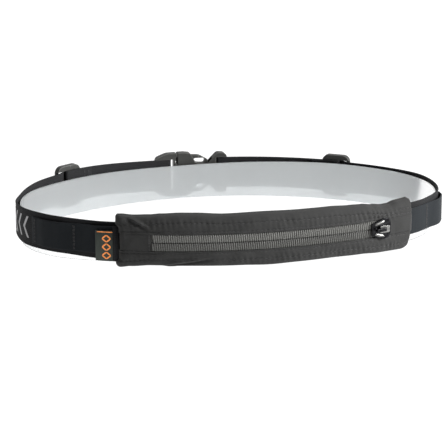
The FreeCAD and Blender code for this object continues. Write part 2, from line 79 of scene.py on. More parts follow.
# ---- webbing ----
WEB = 1.2
WEB_HALF = 12.7
WEB_LEVEL = 0.4
LEFT_BASE = 0.4
RIGHT_BASE = 1.9
LEFT_ADJUSTER = 123.4
RIGHT_ADJUSTER = 60.6
BUCKLE_SEAM = 96.3
BUCKLE_MIDDLE = 5.2
PLUG_BAR = (-10.2, -7.6)
SOCKET_BAR = (35.8, 38.6)
STAND_OFF = 4.9
SLIDE_RISE = 3.7
SLOT_SPREAD = 0.62
HOOP_FLARE = 4.2
STITCH_RADIUS = 0.3
FLOOR = -4.0

joints = {joint["name"]: joint for joint in frame["joints"]}
front_centre = Vector(joints["zip_slide"]["pos_m"]) / MM
back_centre = Vector(joints["buckle_release"]["pos_m"]) / MM
web_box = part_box("strap_right")
WEB_MIDDLE = (web_box[0].z + web_box[1].z) / 2 / MM


def corner_geometry(radius, corner_radius):
    side = HALF_LENGTH - corner_radius
    half = math.asin(side / (radius - corner_radius))
    return side, math.degrees(half), (radius - corner_radius) * math.cos(half)


FRONT_SIDE, FRONT_HALF, FRONT_DISTANCE = corner_geometry(FRONT_RADIUS, FRONT_CORNER_RADIUS)
BACK_SIDE, BACK_HALF, _ = corner_geometry(BACK_RADIUS, BACK_CORNER_RADIUS)
MIDDLE_X = front_centre.x
MIDDLE_Y = front_centre.y - FRONT_DISTANCE

# end angle, centre and radius of each arc of the plan, in turn
ARCS = [
    (90 - BACK_HALF, (MIDDLE_X + BACK_SIDE, MIDDLE_Y), BACK_CORNER_RADIUS),
    (90 + BACK_HALF, (back_centre.x, back_centre.y), BACK_RADIUS),
    (180, (MIDDLE_X - BACK_SIDE, MIDDLE_Y), BACK_CORNER_RADIUS),
    (270 - FRONT_HALF, (MIDDLE_X - FRONT_SIDE, MIDDLE_Y), FRONT_CORNER_RADIUS),
    (270 + FRONT_HALF, (front_centre.x, front_centre.y), FRONT_RADIUS),
    (360, (MIDDLE_X + FRONT_SIDE, MIDDLE_Y), FRONT_CORNER_RADIUS),
]


def arc_at(angle):
    for end, centre, radius in ARCS:
        if angle % 360 <= end:
            return centre, radius


def plan(angle, offset):
    """(x, y) of the place at this angle and offset."""
    (x, y), radius = arc_at(angle)
    turn = math.radians(angle)
    return x + (radius + offset) * math.cos(turn), y + (radius + offset) * math.sin(turn)


def place(angle, offset, height):
    x, y = plan(angle, offset)
    return Vector((x, y, WEB_MIDDLE + height))


def front(angle):
    return 270 + angle


def back_degrees(length):
    return math.degrees(length / (BACK_RADIUS + BUCKLE_MIDDLE))


def run(start, end, step):
    """Angles from start to end, about `step` mm apart along the hoop, with the arcs' ends."""
    way = 1 if end > start else -1
    low, high = sorted((start, end))
    joins = [arc[0] + turn for turn in (0, 360) for arc in ARCS]
    stops = [low] + [join for join in joins if low < join < high] + [high]
    angles = [low]
    for first, last in zip(stops, stops[1:]):
        radius = arc_at((first + last) / 2)[1]
        count = max(1, round(math.radians(last - first) * radius / step))
        angles += [first + (last - first) * (index + 1) / count for index in range(count)]
    return angles if way > 0 else angles[::-1]


def smooth(t):
    t = min(max(t, 0.0), 1.0)
    return t * t * (3 - 2 * t)


def hill(distance, width):
    return math.exp(-(distance / width) ** 2)


# ---- meshes ----

def add(name, data):
    obj = bpy.data.objects.new(name, data)
    bpy.context.scene.collection.objects.link(obj)
    return obj


def make_object(name, points, faces, uvs=None, shade_smooth=True):
    """Object of points in mm, with one UV place in mm for each corner of each face."""
    mesh = bpy.data.meshes.new(name)
    mesh.from_pydata([Vector(point) * MM for point in points], [], faces)
    if uvs:
        layer = mesh.uv_layers.new(name="lengths")
        layer.data.foreach_set("uv", [value for face in uvs for corner in face for value in corner])
    mesh.validate()
    mesh.update()
    if shade_smooth:
        mesh.shade_smooth()
    return add(name, mesh)


def skin(alongs, heights, closed_at=None):
    """Faces between neighbouring rings of points, and their UV places.

    alongs has each ring's length along the piece; heights has each point's length round its ring,
    and one more for the first point met again.  A closed skin meets its first ring at closed_at.
    """
    size = len(heights) - 1
    steps = [(ring, ring + 1, alongs[ring + 1]) for ring in range(len(alongs) - 1)]
    if closed_at is not None:
        steps.append((len(alongs) - 1, 0, closed_at))
    faces, uvs = [], []
    for first, second, end in steps:
        start = alongs[first]
        for index in range(size):
            after = (index + 1) % size
            faces.append((first * size + index, second * size + index,
                          second * size + after, first * size + after))
            low, high = heights[index], heights[index + 1]
            uvs.append([(start, low), (end, low), (end, high), (start, high)])
    return faces, uvs


def cloth(name, points, alongs, heights, outer, corners):
    """Sheet made of rings: outer points, then as many inner ones in the opposite order.

    A ring may have one more point after each of the two, at the sheet's edges.
    corners gives the UV places of one face of the walls that close the first and last rings.
    """
    faces, uvs = skin(alongs, heights)
    size = len(heights) - 1
    last = outer + size // 2 - 1
    for base, turn in ((0, 1), (len(points) - size, -1)):
        for index in range(outer - 1):
            across = base + last - index
            faces.append((base + index, base + index + 1, across - 1, across)[::turn])
            uvs.append(corners(index, turn))
    return make_object(name, points, faces, uvs)


def raise_left_back(obj):
    """The left adjuster and the webbing beside it ride a little high on the hoop."""
    for vertex in obj.data.vertices:
        x, y, _ = vertex.co / MM
        if y > 0:
            vertex.co.z += SLIDE_RISE * hill(x + 112, 56) * smooth(y / 45) * MM


def fill_slots(obj, adjuster):
    """The webbing's upper edge spreads a little inside the adjuster's slots."""
    for vertex in obj.data.vertices:
        x, y, z = vertex.co / MM
        along = math.dist((x, y), place(adjuster, 3, 0).xy)
        vertex.co.z += SLOT_SPREAD * (1 - smooth((along - 9) / 3)) * smooth((z - 19) / 12) * MM


def widen_left_front(obj):
    """The relaxed webbing in front of the left corner spreads, most of all downwards near the pouch."""
    for vertex in obj.data.vertices:
        x, y, z = vertex.co / MM
        share = (z - WEB_MIDDLE) / WEB_HALF * smooth(-y / 40)
        if share > 0:
            vertex.co.z += 1.3 * (1 - smooth((x + 140) / 35)) * share * MM
        else:
            vertex.co.z += (2.0 + 2.0 * smooth((x + 137) / 30)) * share * MM


def finish_piece(obj, material, body, replaced=()):
    obj.data.materials.clear()
    obj.data.materials.append(material)
    if body:
        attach(obj, body)
    if replaced:
        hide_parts(*replaced)
    return obj


def sweep(name, stations, profile, closed=False):
    """Skin over one copy of the profile at each station.

    A station is (x, y, normal x, normal y, length along).  A profile point is (outwards, height).
    """
    points = []
    for x, y, normal_x, normal_y, _ in stations:
        points += [(x + normal_x * out, y + normal_y * out, WEB_MIDDLE + height) for out, height in profile]
    alongs = [station[4] for station in stations]
    heights = [height for _, height in profile + profile[:1]]
    total = alongs[-1] + math.dist(stations[-1][:2], stations[0][:2])
    faces, uvs = skin(alongs, heights, total if closed else None)
    if not closed:
        for column, turn in ((0, 1), (len(stations) - 1, -1)):
            corners = range(len(profile))[::turn]
            faces.append([column * len(profile) + index for index in corners])
            uvs.append([(alongs[column] + profile[index][0], profile[index][1]) for index in corners])
    return make_object(name, points, faces, uvs)


def stations_of(line, flip=False):
    """Stations along a plan line; the normal is to the right of the line's direction."""
    way = -1 if flip else 1
    stations = []
    length = 0.0
    for index, (x, y) in enumerate(line):
        before = line[max(index - 1, 0)]
        after = line[min(index + 1, len(line) - 1)]
        step = way * math.dist(before, after)
        if index:
            length += math.dist(line[index - 1], (x, y))
        stations.append((x, y, (after[1] - before[1]) / step, (before[0] - after[0]) / step, length))
    return stations


def level_line(levels, rise, step=3.0, fine=0.7):
    """Plan line through (angle, level) places, easing from level to level."""
    line = []
    for (angle, level), (next_angle, next_level) in zip(levels, levels[1:]):
        same = abs(level - next_level) < 1e-6
        angles = run(angle, next_angle, step if same else fine)
        for value in angles[1 if line else 0:]:
            t = smooth((value - angle) / (next_angle - angle))
            line.append(plan(value, level + (next_level - level) * t + rise))
    return line


def turn_line(angle, middle, radius, side, outside_first=True, count=12):
    """Half circle round a bar; side is the way along the loop that it bulges."""
    centre = plan(angle, middle)
    out = math.radians(angle)
    along = (-math.sin(out) * side, math.cos(out) * side)
    line = []
    for index in range(1, count):
        swing = math.pi * index / count
        across = math.cos(swing) * (1 if outside_first else -1)
        x = centre[0] + radius * (math.cos(out) * across + along[0] * math.sin(swing))
        y = centre[1] + radius * (math.sin(out) * across + along[1] * math.sin(swing))
        line.append((x, y))
    return line


def web_profile(low, high, thickness=WEB, pitch=1.45, depth=0.09, selvedge=0.12):
    """Section of ribbed elastic: lengthwise ribs on both faces and a thicker rounded edge."""
    half = thickness / 2
    height = high - low
    ribs = max(1, round((height - 2.4) / pitch))
    start, end = low + 1.2, high - 1.2
    face = [(half + selvedge * 0.3, low + 0.35), (half + selvedge, low + 0.75)]
    per_rib = 4
    for index in range(ribs * per_rib + 1):
        z = start + (end - start) * index / (ribs * per_rib)
        face.append((half - depth * (0.5 + 0.5 * math.cos(2 * math.pi * index / per_rib)), z))
    face += [(half + selvedge, high - 0.75), (half + selvedge * 0.3, high - 0.35)]
    back = [(-out, z) for out, z in reversed(face)]
    return face + [(half * 0.55, high - 0.06), (0.0, high), (-half * 0.55, high - 0.06)] + back + [
        (-half * 0.55, low + 0.06), (0.0, low), (half * 0.55, low + 0.06)]


def ribbon_profile(half, low, high):
    """Section of a plain ribbon with slightly pointed edges."""
    return [(half, low + 0.1), (half, high - 0.1), (0, high),
            (-half, high - 0.1), (-half, low + 0.1), (0, low)]


# ---- materials ----

class Graph:
    """Short way to write the node tree of a material or a world."""

    def __init__(self, name, kind=bpy.data.materials, shader="Principled BSDF"):
        self.owner = kind.new(name)
        self.owner.use_nodes = True
        self.tree = self.owner.node_tree
        self.shader = self.tree.nodes[shader]

    def node(self, kind, **values):
        made = self.tree.nodes.new("ShaderNode" + kind)
        for key, value in values.items():
            if hasattr(made, key):
                setattr(made, key, value)
            else:
                self.feed(made.inputs[key.replace("_", " ")], value)
        return made

    def feed(self, socket, value):
        if isinstance(value, bpy.types.NodeSocket):
            self.tree.links.new(value, socket)
        else:
            socket.default_value = value

    def math(self, operation, *values):
        made = self.tree.nodes.new("ShaderNodeMath")
        made.operation = operation
        for socket, value in zip(made.inputs, values):
            self.feed(socket, value)
        return made.outputs[0]

    def weighted(self, *parts):
        """Sum of values, each times its weight."""
        *others, last = parts
        total = self.math("MULTIPLY", *last)
        for value, weight in reversed(others):
            total = self.math("MULTIPLY_ADD", value, weight, total)
        return total

    def lengths(self):
        """The two UV lengths in mm."""
        layer = self.node("UVMap", uv_map="lengths")
        split = self.node("SeparateXYZ", Vector=layer.outputs[0])
        return split.outputs[0], split.outputs[1]

    def object_place(self):
        return self.node("TexCoord").outputs["Object"]

    def wave(self, length, pitch, shift=0.0):
        """0 to 1 ripple along a length in mm."""
        turn = self.math("MULTIPLY_ADD", length, 2 * math.pi / pitch, shift)
        return self.math("MULTIPLY_ADD", self.math("SINE", turn), 0.5, 0.5)

    def noise(self, scale, detail=3.0, roughness=0.55):
        """Noise over the object; a scale of three numbers draws it out differently along each axis."""
        vector = self.object_place()
        if isinstance(scale, tuple):
            vector = self.node("Mapping", Vector=vector, Scale=scale).outputs[0]
            scale = 1.0
        made = self.node("TexNoise", Vector=vector, Scale=scale, Detail=detail, Roughness=roughness)
        return made.outputs["Fac"]

    def span(self, value, low, high, out_low=0.0, out_high=1.0):
        made = self.node("MapRange", Value=value)
        limits = {"From Min": low, "From Max": high, "To Min": out_low, "To Max": out_high}
        for name, number in limits.items():
            made.inputs[name].default_value = number
        return made.outputs[0]

    def mix(self, factor, first, second):
        made = self.tree.nodes.new("ShaderNodeMix")
        made.data_type = "RGBA"
        self.feed(made.inputs[0], factor)
        for socket, value in ((made.inputs[6], first), (made.inputs[7], second)):
            self.feed(socket, (*value, 1.0) if isinstance(value, tuple) else value)
        return made.outputs[2]

    def bump(self, height, distance, strength):
        return self.node("Bump", Height=height, Distance=distance, Strength=strength).outputs[0]

    def surface(self, colour, roughness, normal=None, **fixed):
        for name, value in (("Base Color", colour), ("Roughness", roughness), ("Normal", normal)):
            if value is not None:
                self.feed(self.shader.inputs[name], value)
        for key, value in fixed.items():
            self.shader.inputs[key.replace("_", " ")].default_value = value
        return self.owner


def knit_material():
    """Charcoal stretch knit: columns of small loops, soft mottling, a faint sheen."""
    g = Graph("charcoal_knit")
    along, up = g.lengths()
    column = g.wave(along, 0.62)
    row = g.wave(g.math("ADD", up, g.math("MULTIPLY", column, 0.12)), 0.5)
    loops = g.math("MULTIPLY", column, row)
    mottle = g.noise(60.0, 5.0, 0.6)
    fibre = g.noise(2600.0, 2.0, 0.7)
    shade = g.weighted((loops, 0.35), (mottle, 0.3), (fibre, 0.25))
    colour = g.mix(g.span(shade, 0.15, 0.75), (0.0195, 0.0195, 0.0191), (0.043, 0.043, 0.0423))
    height = g.math("MULTIPLY_ADD", fibre, 0.3, loops)
    normal = g.bump(height, 0.00012, 0.6)
    return g.surface(colour, g.span(mottle, 0.3, 0.7, 0.82, 0.93), normal,
                     Sheen_Weight=0.06, Sheen_Roughness=0.45, Specular_IOR_Level=0.25)


def webbing_material(name, dark, light, rib_pitch, across_pitch, sheen):
    """Elastic webbing: lengthwise ribs crossed by fine weft, with a little dust and wear."""
    g = Graph(name)
    along, up = g.lengths()
    weft = g.wave(along, across_pitch)
    rib = g.wave(up, rib_pitch)
    twill = g.wave(g.math("ADD", along, g.math("MULTIPLY", up, 0.8)), across_pitch * 1.7)
    mottle = g.noise(45.0, 4.0)
    streak = g.noise((700.0, 700.0, 60.0))
    shade = g.weighted((mottle, 0.25), (weft, 0.3), (rib, 0.2), (streak, 0.35))
    colour = g.mix(g.span(shade, 0.25, 0.85), dark, light)
    height = g.weighted((weft, 0.6), (twill, 0.25), (rib, 0.5))
    normal = g.bump(height, 0.00016, 0.7)
    return g.surface(colour, g.span(streak, 0.3, 0.7, 0.7, 0.86), normal,
                     Sheen_Weight=sheen, Sheen_Roughness=0.4, Specular_IOR_Level=0.18)


def plastic_material():
    """Dark moulded acetal with a spark-eroded grain; its edges are paler, partly as rubbed wear and partly as
    painted highlight.
    """
    g = Graph("dark_acetal")
    grain = g.noise(1500.0, 2.0, 0.6)
    cloud = g.noise(90.0, 4.0)
    pointy = g.node("NewGeometry").outputs["Pointiness"]
    # paler edges from pointiness: partly rubbed wear, partly painted highlight where the edges catch the
    # light
    wear_and_highlight = g.math("MULTIPLY", g.span(pointy, 0.508, 0.55), g.span(cloud, 0.3, 0.7, 0.5, 1.0))
    base = g.mix(cloud, (0.021, 0.0213, 0.0195), (0.034, 0.0343, 0.032))
    colour = g.mix(g.math("MULTIPLY", wear_and_highlight, 0.8), base, (0.16, 0.16, 0.15))
    rough = g.span(grain, 0.3, 0.7, 0.36, 0.52)
    return g.surface(colour, rough, g.bump(grain, 0.00006, 0.5), Specular_IOR_Level=0.35)


def metal_material(name, dark, light, low_rough, high_rough):
    """Cast metal with a cloudy finish and fine scratches."""
    g = Graph(name)
    cloud = g.noise(500.0, 4.0)
    scratch = g.noise((300.0, 300.0, 3500.0), 2.0)
    colour = g.mix(g.span(cloud, 0.35, 0.65), dark, light)
    rough = g.span(scratch, 0.3, 0.7, low_rough, high_rough)
    return g.surface(colour, rough, g.bump(scratch, 0.00002, 0.5), Metallic=1.0)


def tape_material(name, dark, light, rib, roughness=0.7, depth=0.00012):
    """Woven zip tape or coil with fine ribs across its length."""
    g = Graph(name)
    along, up = g.lengths()
    ribs = g.wave(along, rib)
    weave = g.wave(up, 0.5)
    mottle = g.noise(120.0, 4.0)
    shade = g.weighted((ribs, 0.4), (weave, 0.15), (mottle, 0.45))
    colour = g.mix(g.span(shade, 0.2, 0.8), dark, light)
    height = g.math("MULTIPLY_ADD", weave, 0.3, ribs)
    return g.surface(colour, g.span(mottle, 0.3, 0.7, roughness - 0.06, roughness + 0.08),
                     g.bump(height, depth, 0.6), Sheen_Weight=0.08, Specular_IOR_Level=0.4)


def thread_material(name, dark, light, **fixed):
    """Twisted thread."""
    g = Graph(name)
    fibre = g.noise(3000.0, 2.0)
    return g.surface(g.mix(fibre, dark, light), 0.75, g.bump(fibre, 0.00008, 0.5), Sheen_Weight=0.2, **fixed)


def sheet_material():
    """Translucent plastic sheet, frosted at the back and clearer along the front.

    Its bend at the right is painted white as a highlight, with a little glow of its own: painted light.
    """
    g = Graph("frosted_sheet")
    frost = g.noise(900.0, 2.0)
    cloud = g.weighted((g.noise((40.0, 12.0, 3.0)), 0.6), (g.noise(14.0, 3.0), 0.4))
    colour = g.mix(cloud, (0.80, 0.84, 0.855), (0.93, 0.95, 0.955))
    across, depth, height = g.node("SeparateXYZ", Vector=g.object_place()).outputs
    upright = g.math("MULTIPLY_ADD", height, -0.16, g.math("ADD", across, 0.16 * 0.032))
    # painted highlight: the right bend is made white, less clear and given a faint glow
    painted_bright_bend = g.span(upright, 0.1612, 0.1642)
    white = (1.0, 1.0, 1.0)
    colour = g.mix(painted_bright_bend, g.mix(g.span(depth, -0.06, 0.04), white, colour), white)
    g.feed(g.shader.inputs["Emission Strength"], g.math("MULTIPLY", painted_bright_bend, 0.22))
    clear = g.math("MULTIPLY", g.span(depth, -0.06, 0.04, 0.93, 0.42), g.span(painted_bright_bend, 0.0, 1.0, 1.0, 0.08))
    g.feed(g.shader.inputs["Transmission Weight"], clear)
    rough = g.math("MULTIPLY", g.span(frost, 0.3, 0.7, 0.42, 0.56), g.span(depth, -0.06, 0.04, 0.4, 1.0))
    return g.surface(colour, rough, g.bump(frost, 0.00002, 0.15), IOR=1.2, Specular_IOR_Level=0.4,
                     Emission_Color=(1, 1, 1, 1))


def paint_material(name, dark, light, roughness, metallic):
    """Printed film with a fine grain."""
    g = Graph(name)
    grain = g.noise(1800.0, 2.0)
    return g.surface(g.mix(grain, dark, light), roughness, g.bump(grain, 0.00004, 0.4), Metallic=metallic)


KNIT = knit_material()
WEBBING = webbing_material("black_webbing", (0.006, 0.0062, 0.007), (0.020, 0.0205, 0.022), 1.45, 0.62, 0.02)
GEL_WEBBING = webbing_material("blue_black_webbing", (0.0045, 0.0054, 0.0065), (0.015, 0.0185, 0.022),
                               0.7, 0.9, 0.03)
LABEL = webbing_material("label_satin", (0.036, 0.043, 0.037), (0.088, 0.100, 0.088), 0.55, 0.4, 0.1)
PLASTIC = plastic_material()
BLACK_NICKEL = metal_material("black_nickel", (0.012, 0.012, 0.013), (0.03, 0.03, 0.032), 0.2, 0.34)
NICKEL = metal_material("tumbled_nickel", (0.15, 0.15, 0.145), (0.27, 0.27, 0.26), 0.25, 0.42)
TAPE = tape_material("grey_zip_tape", (0.075, 0.075, 0.070), (0.14, 0.14, 0.132), 0.9)
# lit and shaded copies of one grey coil: the upper half is lighter as painted light, the lower darker as
# painted shade
COIL_UPPER_PAINTED_LIGHT = tape_material("grey_zip_coil_upper_painted_light", (0.082, 0.082, 0.076), (0.155, 0.155, 0.145),
                           0.5, 0.6, 0.00005)
COIL_LOWER_PAINTED_SHADE = tape_material("grey_zip_coil_lower_painted_shade", (0.055, 0.055, 0.051), (0.108, 0.108, 0.101),
                           0.5, 0.6, 0.00005)
THREAD = thread_material("grey_thread", (0.014, 0.0145, 0.016), (0.036, 0.037, 0.040))
DARK_THREAD = thread_material("dark_thread", (0.008, 0.008, 0.009), (0.022, 0.022, 0.023))
# the orange thread is given a faint glow of its own: painted light
GLOWING_ORANGE_THREAD = thread_material("orange_thread_painted_glow", (0.85, 0.22, 0.04), (1.0, 0.42, 0.12),
                                Emission_Color=(1.0, 0.27, 0.06, 1), Emission_Strength=0.22)
SHEET = sheet_material()
REFLECTIVE = paint_material("reflective_print", (0.22, 0.22, 0.225), (0.42, 0.42, 0.43), 0.45, 0.3)


# ---- hoop ----

def make_hoop():
    """Closed band of frosted sheet with a rounded rim, leaning out to meet the right corner's webbing."""
    bottom, top = (corner.z / MM - WEB_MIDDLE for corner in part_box("display_hoop"))
    half = HOOP_THICKNESS / 2
    rim = 0.45
    rows = 14
    edge = [(half - 0.15, 0.12), (half - rim, 0), (rim - half, 0), (0.15 - half, 0.12)]
    outer = [(half, bottom + rim + (top - bottom - 2 * rim) * index / rows) for index in range(rows + 1)]
    profile = outer + [(out, top - inset) for out, inset in edge]
    profile += [(-out, height) for out, height in reversed(outer)]
    profile += [(out, bottom + inset) for out, inset in reversed(edge)]
    stations = []
    length = 0.0
    for angle in run(0, 360, 3.0)[:-1]:
        x, y = plan(angle, -half)
        if stations:
            length += math.dist(stations[-1][:2], (x, y))
        turn = math.radians(angle)
        stations.append((x, y, math.cos(turn), math.sin(turn), length))
    hoop = sweep("hoop_sheet", stations, profile, closed=True)
    middle = WEB_MIDDLE + (top + bottom) / 2
    for vertex in hoop.data.vertices:
        x, y, z = vertex.co / MM
        angle = math.degrees(math.atan2(y - MIDDLE_Y, x - MIDDLE_X))
        flare = smooth((angle + 36) / 26) * (1 - smooth((angle - 4) / 30)) * smooth((z - 6) / 26)
        vertex.co.x += HOOP_FLARE * flare * MM
        if y > 0 and z > middle:
            sag = (1.6 * hill(x + 25, 60) - 1.3 * hill(x - 110, 42)) * smooth(y / 45)
            vertex.co.z -= sag * (z - middle) / (top - bottom) * 2 * MM
    finish_piece(hoop, SHEET, "hoop", ["display_hoop"])


# ---- straps ----

def threaded_line(side, base, adjuster, bar, far):
    """Centre line of the webbing from its far end to the buckle's bar and back to its sewn tail."""
    half = WEB / 2

    def beside(distance):
        return adjuster + side * back_degrees(distance)

    turn_edge, other_edge = bar
    main = [
        (turn_edge, base + 5.1),
        (other_edge, base + 5.1),
        (other_edge + side * back_degrees(4.2), base + 2.6),
        (beside(-7.0), base + 2.6),
        (beside(-2.3), base + 4.9),
        (beside(2.5), base + 4.9),
    ] + far(beside)
    line = level_line(main[::-1], half)
    line += turn_line(turn_edge, base + 3.8, 1.3 + half, -side)
    line += level_line([(turn_edge, base + 1.3), (beside(-6.5), base + 1.3),
                        (beside(-1.9), base + 3.6), (beside(1.5), base + 3.6)], half)
    line += turn_line(beside(1.5), base + 2.4, 1.2 + half, side)
    line += level_line([(beside(1.5), base), (beside(-22.0), base)], half)
    return line


def left_bulge(angle):
    """How far the left strap stands off where it rounds the corner."""
    return 1.9 * smooth((angle - 160) / 18) * (1 - smooth((angle - 196) / 26))


def make_straps():
    profile = web_profile(-WEB_HALF, WEB_HALF)
    bar = [BUCKLE_SEAM - back_degrees(x) for x in reversed(PLUG_BAR)]
    line = threaded_line(1, LEFT_BASE, LEFT_ADJUSTER, bar,
                         lambda beside: [(beside(8.3), WEB_LEVEL)]
                         + [(angle, WEB_LEVEL + left_bulge(angle)) for angle in (160.0, 178.0, 196.0, 222.0)]
                         + [(front(POUCH_START + 3.6), WEB_LEVEL)])
    left = sweep("strap_left_webbing", stations_of(line), profile)
    fill_slots(left, LEFT_ADJUSTER)
    raise_left_back(left)
    widen_left_front(left)
    finish_piece(left, WEBBING, "belt", ["strap_left"])

    bar = [BUCKLE_SEAM - back_degrees(x) for x in SOCKET_BAR]
    line = threaded_line(-1, RIGHT_BASE, RIGHT_ADJUSTER, bar,
                         lambda beside: [(beside(8.3), RIGHT_BASE), (46.0, RIGHT_BASE),
                                         (18.0, STAND_OFF), (-14.0, STAND_OFF), (-42.5, WEB_LEVEL + 1.8),
                                         (front(POUCH_END - 3.0) - 360, WEB_LEVEL)])
    right = sweep("strap_right_webbing", stations_of(line, flip=True), profile)
    fill_slots(right, RIGHT_ADJUSTER)
    finish_piece(right, WEBBING, None, ["strap_right", "strap_right_loop"])
    place(350, 0, 0) * MM
    Vector((place(350, 0, 0).x, place(48, 0, 0).y, 19)) * MM
    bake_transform(right)


# ---- gel loops ----

GEL_HEIGHTS = {"left": (-11.4, 10.0), "right": (-12.0, 8.7)}
GEL_LEFT_STITCHES = (-24.9, -56.5)
GEL_LEFT_END = -59.5
GEL_RIGHT_STITCHES = (47.5,)
GEL_RIGHT_END = 80.0
GEL_SEWN_LEVEL = 1.7


def gel_sewn_level(way):
    return GEL_SEWN_LEVEL + (1.8 if way > 0 else 0.0)


def gel_levels(pouch_end, stitches, far_end):
    way = 1 if far_end > pouch_end else -1
    levels = [(pouch_end - way * 0.4, 3.2), (pouch_end + way * 2.4, 3.8)]
    for stitch in stitches:
        sewn = gel_sewn_level(way)
        levels += [(stitch - way * 0.7, sewn), (stitch + way * 0.7, sewn)]
        if stitch != stitches[-1]:
            following = stitches[stitches.index(stitch) + 1]
            third = (following - stitch) / 3
            levels += [(stitch + third, 2.8), (following - third, 2.8)]
    if abs(far_end - stitches[-1]) > 10:
        levels += [(stitches[-1] + way * 17, 7.7), (far_end - way * 7, 7.9)]
    levels.append((far_end, 6.2 if way > 0 else GEL_SEWN_LEVEL))
    return [(front(angle), level) for angle, level in levels]


def make_gel_loops():
    for side, pouch_end, stitches, far_end in (
        ("left", POUCH_START, GEL_LEFT_STITCHES, GEL_LEFT_END),
        ("right", POUCH_END, GEL_RIGHT_STITCHES, GEL_RIGHT_END),
    ):
        line = level_line(gel_levels(pouch_end, stitches, far_end), WEB / 2, 2.5, 1.2)
        profile = web_profile(*GEL_HEIGHTS[side], pitch=0.95, depth=0.05, selvedge=0.08)
        strip = sweep("gel_loop_webbing_" + side, stations_of(line, flip=side == "left"), profile)
        finish_piece(strip, GEL_WEBBING, "belt", ["gel_loop_strip_" + side])


# ---- stitches ----

def capsule(start, end, out, radius, flatten=0.7, rings=4, sides=7):
    """Points and faces of a thread stitch between two places, pressed flat towards the cloth."""
    along = (end - start).normalized()
    out = (out - along * out.dot(along)).normalized()
    across = along.cross(out)
    half = (end - start).length / 2
    middle = (start + end) / 2
    points = [start]
    for ring in range(1, 2 * rings):
        swing = math.pi * ring / (2 * rings)
        reach = -math.cos(swing) * half
        girth = radius * math.sin(swing) ** 0.5
        for side in range(sides):
            turn = 2 * math.pi * side / sides
            points.append(middle + along * reach + across * (girth * math.cos(turn))
                          + out * (girth * flatten * math.sin(turn)))
    points.append(end)
    faces = []
    last = len(points) - 1
    for side in range(sides):
        after = (side + 1) % sides
        faces.append((0, 1 + after, 1 + side))
        for ring in range(2 * rings - 2):
            row = 1 + ring * sides
            faces.append((row + side, row + after, row + sides + after, row + sides + side))
        row = 1 + (2 * rings - 2) * sides
        faces.append((row + side, row + after, last))
    return points, faces


def gather(name, solids):
    """One object of many small solids."""
    points, faces = [], []
    for solid_points, solid_faces in solids:
        base = len(points)
        points += solid_points
        faces += [tuple(base + index for index in face) for face in solid_faces]
    return make_object(name, points, faces)


def outwards(angle):
    turn = math.radians(angle)
    return Vector((math.cos(turn), math.sin(turn), 0))


def upright_stitches(angle, level, low, high, inwards=False):
    """A vertical row of short stitches that slant a little, by turns to each side."""
    count = int((high - low) / 2.6)
    pitch = (high - low) / count
    stitches = []
    for index in range(count):
        start = low + index * pitch + 0.25
        lean = 0.05 * (1 if index % 2 else -1)
        first = place(angle - lean, level, start)
        last = place(angle + lean, level, start + pitch - 0.5)
        stitches.append(capsule(first, last, outwards(angle) * (-1 if inwards else 1), STITCH_RADIUS))
    return stitches


def make_strap_stitches():
    for side, way, angles in (("left", -1, GEL_LEFT_STITCHES), ("right", 1, GEL_RIGHT_STITCHES)):
        rows = []
        level = gel_sewn_level(way) + WEB + 0.03
        bottom, top = GEL_HEIGHTS[side]
        for angle in angles:
            apart = math.degrees(0.45 / arc_at(front(angle))[1])
            for beside in (-apart, apart):
                rows += upright_stitches(front(angle) + beside, level, bottom + 1, top - 1)
        finish_piece(gather("gel_loop_thread_" + side, rows), DARK_THREAD, "belt",
                     ["gel_loop_stitches_" + side])
    for name, way, base, adjuster, body in (("left", 1, LEFT_BASE, LEFT_ADJUSTER, "belt"),
                                            ("right", -1, RIGHT_BASE, RIGHT_ADJUSTER, "buckle_half")):
        rows = []
        for distance in (-15.0, -19.0):
            angle = adjuster + way * back_degrees(distance)
            for level, inwards in ((base - 0.02, True), (base + 3.82, False)):
                rows += upright_stitches(angle, level, 1.5 - WEB_HALF, WEB_HALF - 1.5, inwards)
        tail = gather("strap_tail_thread_" + name, rows)
        if name == "left":
            raise_left_back(tail)
        finish_piece(tail, THREAD, body, ["strap_tail_stitches_" + name])


# ---- pouch ----

POUCH_LEFT = POUCH_START - 0.15
POUCH_RIGHT = POUCH_END + 0.8
MM_PER_DEGREE = math.radians(FRONT_RADIUS + 8)
# heights of the pouch's edges at distances from its left end: the cloth sags and gathers unevenly
TOP_EDGE = [(0, 19.6), (5, 19.8), (13, 19.3), (26, 19.8), (35, 20.6), (50, 21.3), (61, 21.2), (83, 20.1),
            (112, 20.6), (142, 20.1), (167, 20.0), (184, 19.1), (195, 18.6), (204, 17.3), (213, 16.1),
            (218, 16.2), (225, 17.7), (240, 18.4)]
BOTTOM_EDGE = [(0, -20.9), (4, -21.2), (12, -20.2), (28, -19.1), (35, -19.1), (42, -19.8), (50, -19.4),
               (95, -19.9), (118, -20.6), (142, -20.1), (167, -19.8), (193, -20.3), (210, -21.3),
               (240, -21.8)]
POUCH_EDGE_LEVEL = 3.4
POUCH_FRONT_LEVEL = 12.2
HEM = 6.2
LIP_ROW = ZIP_HALF + 1.5
FRONT_ROWS = 34
ROW_LENGTH = 0.5
LEFT_TUCK = 2.7
PATCH_HALF = 11.4
PATCH_ROWS = 34
PATCH_ROW_LENGTH = 0.58


def corner_drop(distance, radius):
    if distance >= radius:
        return 0.0
    return radius - math.sqrt(max(radius ** 2 - (radius - max(distance, 0)) ** 2, 0))


def rounded(t, power):
    """0 to 1, steep at first and level at t = 1."""
    t = min(max(t, 0.0), 1.0)
    return (1 - (1 - t) ** power) ** (1 / power)


def ends_of(angle):
    return (angle - POUCH_LEFT) * MM_PER_DEGREE, (POUCH_RIGHT - angle) * MM_PER_DEGREE


def edge_height(edge, distance):
    for (start, low), (end, high) in zip(edge, edge[1:]):
        if distance <= end:
            return low + (high - low) * smooth((distance - start) / (end - start))
    return edge[-1][1]


